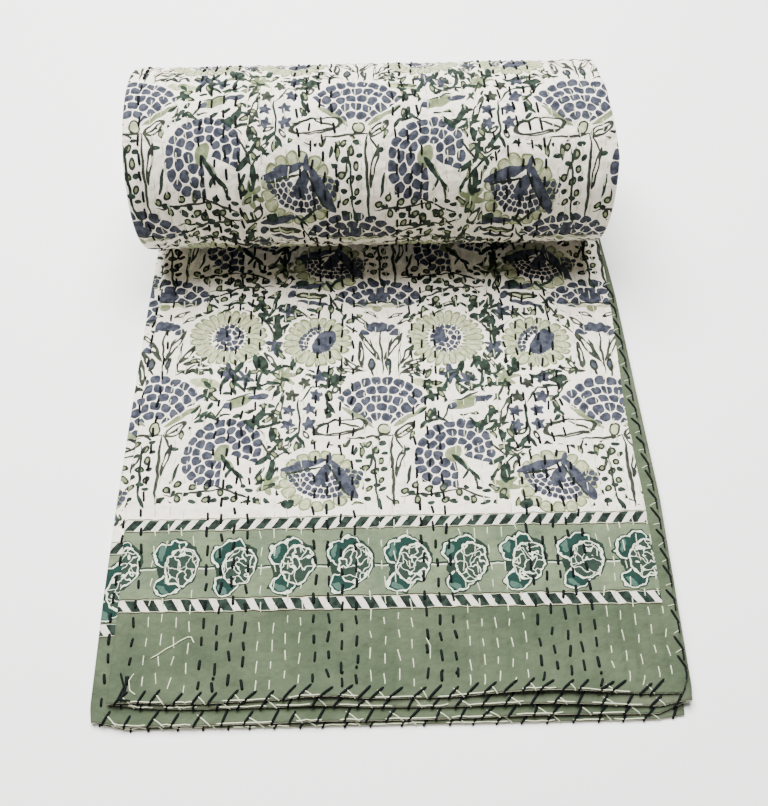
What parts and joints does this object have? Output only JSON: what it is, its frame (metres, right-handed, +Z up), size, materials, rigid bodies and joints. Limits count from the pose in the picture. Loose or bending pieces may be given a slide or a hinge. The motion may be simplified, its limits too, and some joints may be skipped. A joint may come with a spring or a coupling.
{
  "type": "kantha quilt",
  "caption": "Hand-stitched block-printed cotton quilt, folded lengthwise into a flat strip and rolled up towards its loose hems.",
  "frame": {"origin": "middle of the bundle's box, on the surface that it lies on", "axes": "+Z up off the surface; +Y along the strip from its loose hems to the roll; +X across the strip, to the right of someone who looks from the hems to the roll"},
  "size_m": [0.603, 0.771, 0.2299],
  "materials": {
    "quilted_cotton": "matte hand-stitched cotton, block-printed in blue, green and sage on a pale ground"
  },
  "bodies": {
    "root": {"quilt": "quilted_cotton"}
  },
  "joints": []
}
